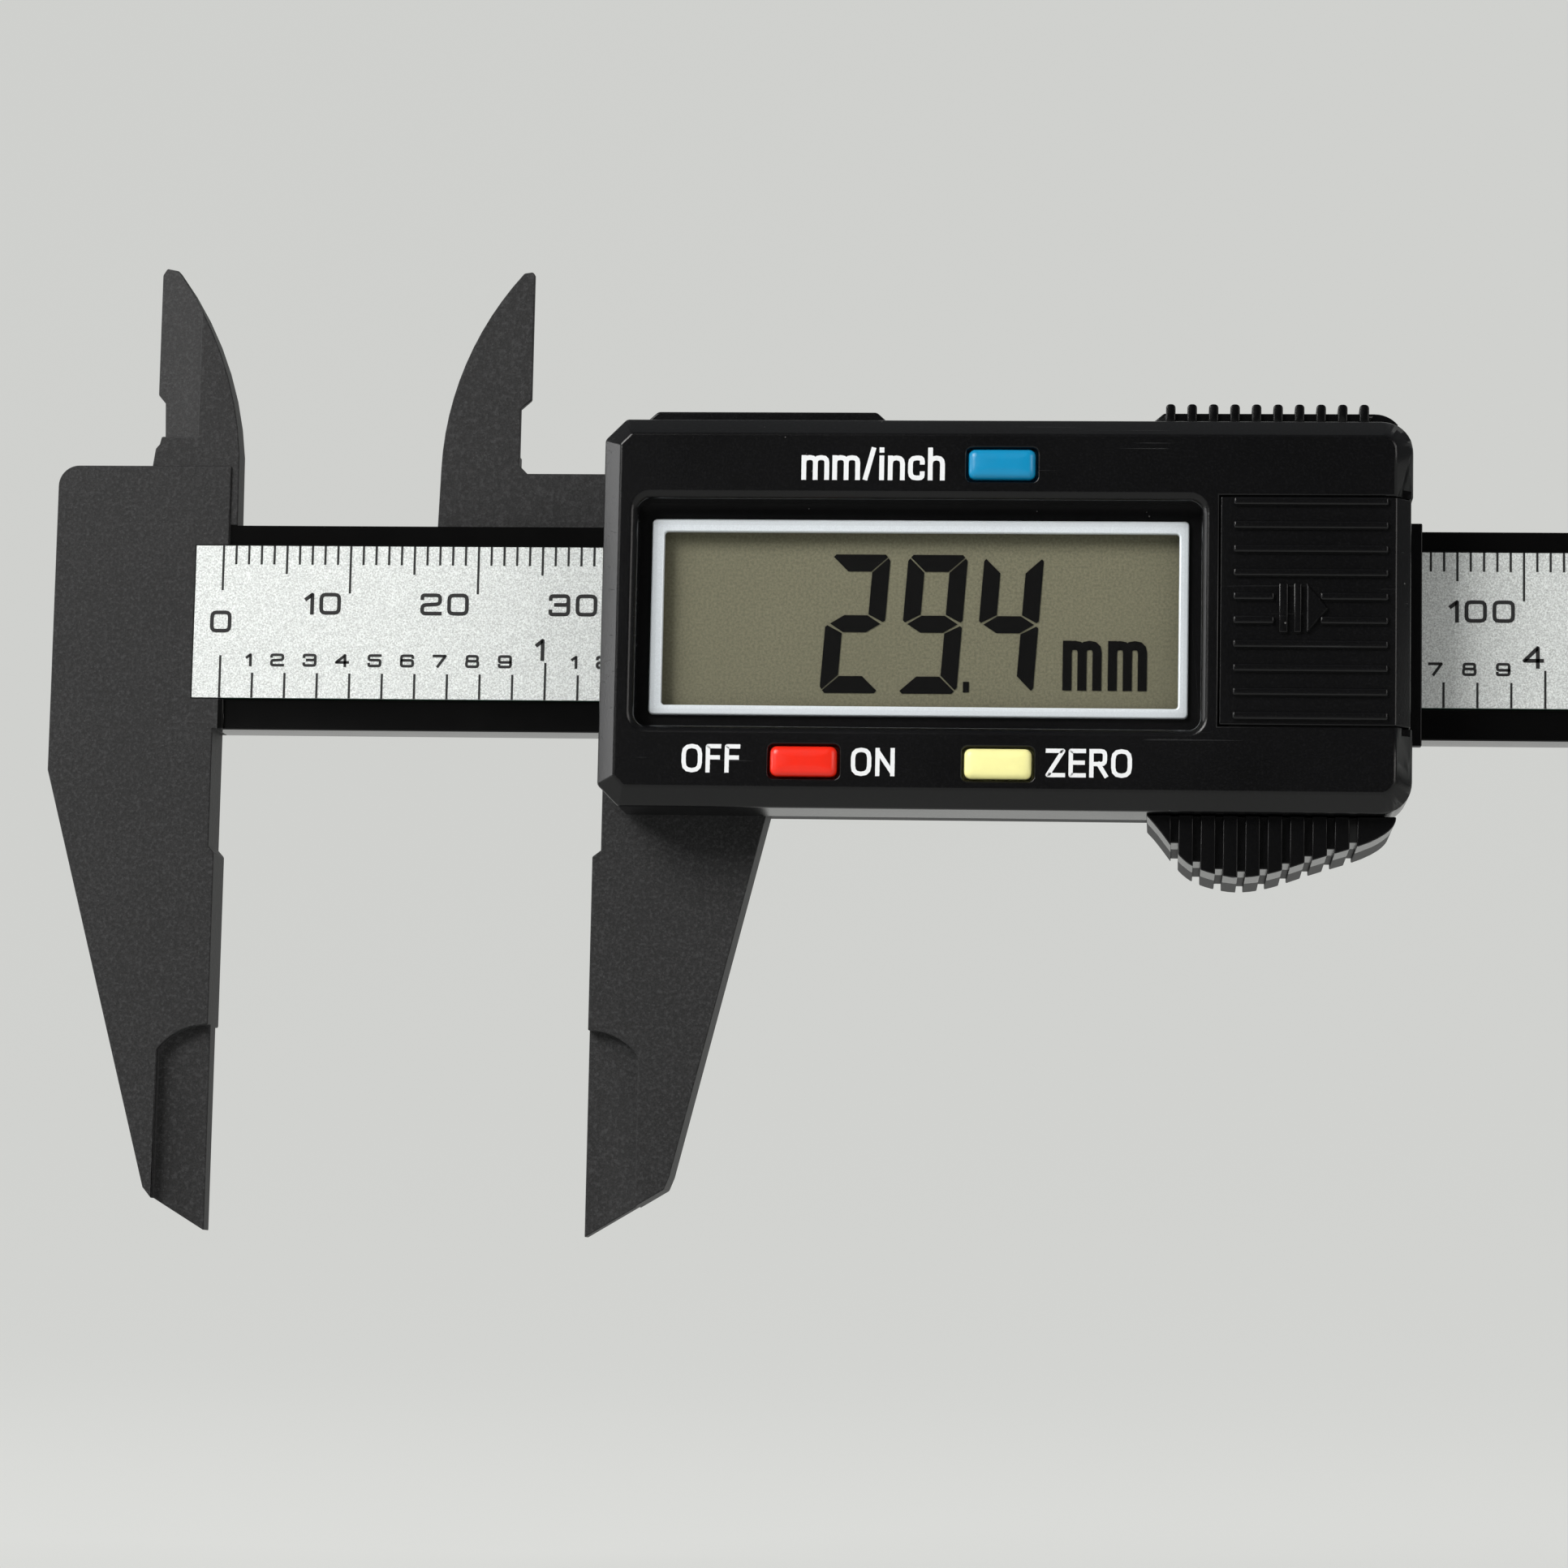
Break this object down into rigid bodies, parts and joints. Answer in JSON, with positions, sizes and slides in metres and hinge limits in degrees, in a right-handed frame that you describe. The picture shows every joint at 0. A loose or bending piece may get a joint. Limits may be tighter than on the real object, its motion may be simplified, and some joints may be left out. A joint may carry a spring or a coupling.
{
  "type": "digital caliper",
  "caption": "Plastic digital caliper: outside and inside jaws, sliding display housing with push buttons, a depth rod and a slide-off battery lid.",
  "frame": {"origin": "on the centre line and middle plane of the beam, level with the measuring face of the fixed outside jaw (the scale's zero)", "axes": "+X along the beam towards its free end, +Y from the display to the back, +Z from the outside jaws to the inside jaws"},
  "size_m": [0.2637, 0.0152, 0.0753],
  "materials": {
    "composite": "moulded fibre-filled plastic, fine grain",
    "housing_plastic": "black satin plastic",
    "scale_foil": "matt silver foil with printed marks",
    "board": "green circuit board",
    "steel": "plain steel",
    "bezel_silver": "silver painted frame",
    "clear_window": "clear plastic pane",
    "lcd": "grey-green liquid crystal panel",
    "button_blue": "blue moulded plastic",
    "button_red": "red moulded plastic",
    "button_yellow": "pale yellow moulded plastic",
    "rubber": "soft black rubber",
    "label": "blank silver sticker",
    "resin": "black potting resin",
    "white_plastic": "white moulded plastic"
  },
  "bodies": {
    "beam": {"main_beam": "composite", "stator_strip": "board", "scale_strip": "scale_foil", "end_stop": "steel", "end_stop_screws": "steel"},
    "slider": {"slider_frame": "composite", "back_cover": "composite", "back_label": "label", "case_screws": "steel", "front_housing": "housing_plastic", "display_bezel": "bezel_silver", "display_window": "clear_window", "lcd_cell": "lcd", "lcd_holder": "white_plastic", "zebra_strips": "rubber", "circuit_board": "board", "controller_chip": "resin", "pickup_board": "board", "board_screws": "steel", "contact_pads": "rubber", "battery_cell": "steel", "contact_negative": "steel", "contact_positive": "steel", "gib_spring": "steel", "depth_rod": "steel", "rod_clamp": "steel", "rod_screws": "steel"},
    "lid": {"battery_lid": "housing_plastic"},
    "unit_button": {"button_unit": "button_blue"},
    "power_button": {"button_power": "button_red"},
    "zero_button": {"button_zero": "button_yellow"}
  },
  "joints": [
    {"name": "slider_slide", "type": "slide", "parent": "beam", "child": "slider", "axis": [1, 0, 0], "range_m": [-0.02938, 0.1206]},
    {"name": "lid_slide", "type": "slide", "parent": "slider", "child": "lid", "axis": [1, 0, 0], "range_m": [0, 0.0155]},
    {"name": "unit_press", "type": "slide", "parent": "slider", "child": "unit_button", "axis": [0, 1, 0], "range_m": [0, 0.0005], "stiffness_N_per_m": 1500, "springref_m": -0.0003},
    {"name": "power_press", "type": "slide", "parent": "slider", "child": "power_button", "axis": [0, 1, 0], "range_m": [0, 0.0005], "stiffness_N_per_m": 1500, "springref_m": -0.0003},
    {"name": "zero_press", "type": "slide", "parent": "slider", "child": "zero_button", "axis": [0, 1, 0], "range_m": [0, 0.0005], "stiffness_N_per_m": 1500, "springref_m": -0.0003}
  ]
}
